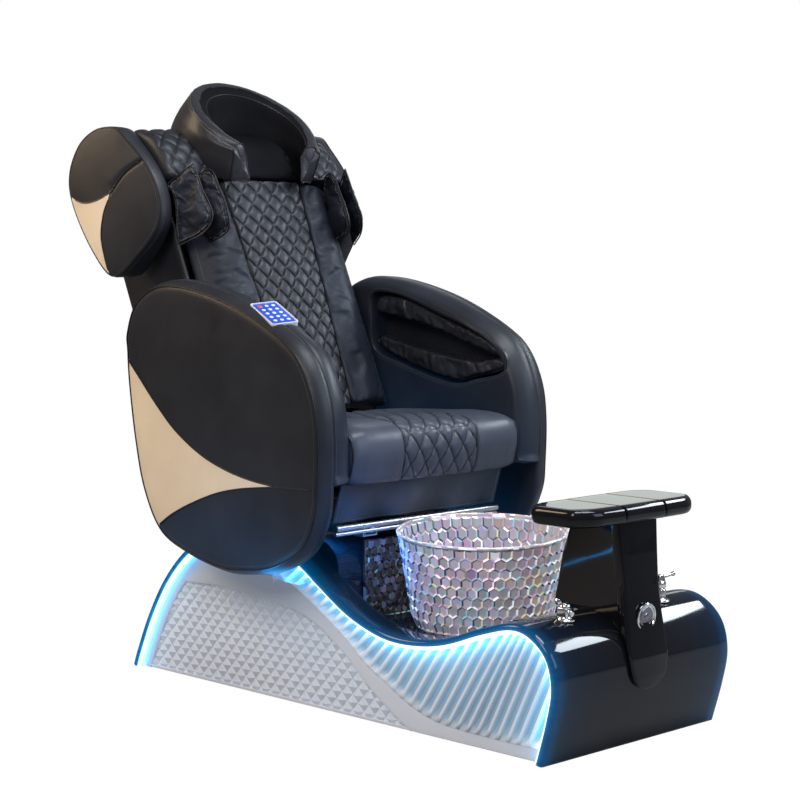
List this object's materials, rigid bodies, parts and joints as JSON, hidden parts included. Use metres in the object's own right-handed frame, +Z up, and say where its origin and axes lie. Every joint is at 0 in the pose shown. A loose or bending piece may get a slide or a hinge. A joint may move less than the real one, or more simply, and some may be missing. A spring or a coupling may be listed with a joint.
{
  "type": "pedicure spa chair",
  "caption": "Reclining massage seat with shoulder wings on a moulded, lit plinth that carries a faceted glass foot bowl and a footrest.",
  "frame": {"origin": "centre of the plinth's footprint, on the floor", "axes": "+X towards the sitter's left, -Y the way the sitter faces, +Z up"},
  "size_m": [0.7606, 1.5567, 1.4425],
  "materials": {
    "chassis_steel": "satin painted steel",
    "grey_plastic": "matt moulded plastic",
    "gloss_shell": "high-gloss lacquered moulding",
    "white_panel": "white satin-gloss moulding",
    "led_lens": "translucent lens over a light strip",
    "bowl_glass": "clear faceted glass with an iridescent coat",
    "crystal_glass": "dark faceted glass",
    "chrome": "polished chrome plate",
    "black_leather": "smooth upholstery leather, double stitched",
    "beige_leather": "smooth upholstery leather",
    "keypad_white": "white moulded bezel",
    "key_blue": "blue membrane with domed keys",
    "key_red": "red push button",
    "roller_tyre": "moulded rubber tyre"
  },
  "bodies": {
    "base": {"base_frame": "chassis_steel", "levelling_feet": "grey_plastic", "base_shell": "gloss_shell", "side_panel_left": "white_panel", "side_panel_right": "white_panel", "diamond_panel_left": "white_panel", "diamond_panel_right": "white_panel", "led_strip_left": "led_lens", "led_strip_right": "led_lens", "bowl": "bowl_glass", "bowl_drain": "chrome", "crystal_panel": "crystal_glass", "footrest_post": "gloss_shell", "post_badge": "chrome", "footrest_pad": "gloss_shell", "mixer_body": "chrome", "spray_socket": "chrome", "drain_pump": "grey_plastic", "control_box": "grey_plastic", "slide_rails": "chassis_steel", "cross_bars": "chrome"},
    "stopper": {"drain_stopper": "chrome"},
    "mixer_cap": {"mixer_cap": "chrome"},
    "mixer_lever": {"mixer_lever": "chrome"},
    "hand_spray": {"hand_spray": "chrome"},
    "seat": {"seat_frame": "chassis_steel", "seat_motors": "grey_plastic", "recline_pins": "chrome", "seat_cushion": "black_leather", "seat_flap": "black_leather", "arm_left": "black_leather", "arm_right": "black_leather", "arm_insert_left": "beige_leather", "arm_insert_right": "beige_leather", "arm_airbags_left": "black_leather", "arm_airbags_right": "black_leather", "keypad_case": "keypad_white"},
    "keys": {"key_mat": "key_blue"},
    "power_key": {"power_key": "key_red"},
    "back": {"back_frame": "chassis_steel", "back_shell": "black_leather", "back_pad": "black_leather", "back_bolster_left": "black_leather", "back_bolster_right": "black_leather", "shoulder_pad": "black_leather", "wing_left": "black_leather", "wing_right": "black_leather", "wing_insert_left": "beige_leather", "wing_insert_right": "beige_leather", "shoulder_airbags_left": "black_leather", "shoulder_airbags_right": "black_leather", "head_pillow": "black_leather"},
    "carriage": {"massage_carriage": "grey_plastic"},
    "screw": {"lift_screw": "chrome"},
    "roller_arm_left": {"roller_arm_left": "chassis_steel"},
    "roller_arm_right": {"roller_arm_right": "chassis_steel"},
    "roller_upper_left": {"roller_upper_left": "roller_tyre"},
    "roller_upper_right": {"roller_upper_right": "roller_tyre"},
    "roller_lower_left": {"roller_lower_left": "roller_tyre"},
    "roller_lower_right": {"roller_lower_right": "roller_tyre"}
  },
  "joints": [
    {"name": "seat_slide", "type": "slide", "parent": "base", "child": "seat", "axis": [0, -1, 0], "range_m": [0, 0.08]},
    {"name": "back_recline", "type": "hinge", "parent": "seat", "child": "back", "pos_m": [0, 0.35805, 0.59822], "axis": [-1, 0, 0], "range_deg": [0, 30]},
    {"name": "massage_lift", "type": "slide", "parent": "back", "child": "carriage", "axis": [0, 0.4003, 0.9164], "range_m": [-0.07, 0.22]},
    {"name": "screw_turn", "type": "hinge", "parent": "back", "child": "screw", "pos_m": [0, 0.55178, 0.79186], "axis": [0, 0.4003, 0.9164], "range_deg": [-1300, 4000]},
    {"name": "arm_rock_left", "type": "hinge", "parent": "carriage", "child": "roller_arm_left", "pos_m": [0.06, 0.50138, 0.81388], "axis": [1, 0, 0], "range_deg": [-6, 6]},
    {"name": "arm_rock_right", "type": "hinge", "parent": "carriage", "child": "roller_arm_right", "pos_m": [-0.06, 0.50138, 0.81388], "axis": [1, 0, 0], "range_deg": [-6, 6]},
    {"name": "upper_spin_left", "type": "hinge", "parent": "roller_arm_left", "child": "roller_upper_left", "pos_m": [0.06, 0.47454, 0.88235], "axis": [1, 0, 0], "continuous": true},
    {"name": "lower_spin_left", "type": "hinge", "parent": "roller_arm_left", "child": "roller_lower_left", "pos_m": [0.06, 0.43291, 0.78704], "axis": [1, 0, 0], "continuous": true},
    {"name": "upper_spin_right", "type": "hinge", "parent": "roller_arm_right", "child": "roller_upper_right", "pos_m": [-0.06, 0.47454, 0.88235], "axis": [1, 0, 0], "continuous": true},
    {"name": "lower_spin_right", "type": "hinge", "parent": "roller_arm_right", "child": "roller_lower_right", "pos_m": [-0.06, 0.43291, 0.78704], "axis": [1, 0, 0], "continuous": true},
    {"name": "mixer_turn", "type": "hinge", "parent": "base", "child": "mixer_cap", "pos_m": [0.155, -0.612, 0.308], "axis": [0, 0, 1], "range_deg": [-60, 60]},
    {"name": "mixer_lift", "type": "hinge", "parent": "mixer_cap", "child": "mixer_lever", "pos_m": [0.155, -0.612, 0.324], "axis": [0, -1, 0], "range_deg": [0, 22]},
    {"name": "spray_pull", "type": "slide", "parent": "base", "child": "hand_spray", "axis": [0, 0, 1], "range_m": [0, 0.12]},
    {"name": "stopper_lift", "type": "slide", "parent": "base", "child": "stopper", "axis": [0, 0, 1], "range_m": [0, 0.012]},
    {"name": "key_press", "type": "slide", "parent": "seat", "child": "keys", "axis": [0, 0.3502, -0.9367], "range_m": [0, 0.0008], "stiffness_N_per_m": 800},
    {"name": "power_press", "type": "slide", "parent": "seat", "child": "power_key", "axis": [0, 0.3502, -0.9367], "range_m": [0, 0.0015], "stiffness_N_per_m": 400}
  ],
  "couplings": [
    {"joint": "screw_turn", "follows": "massage_lift", "rad_per_m": 314.16}
  ]
}
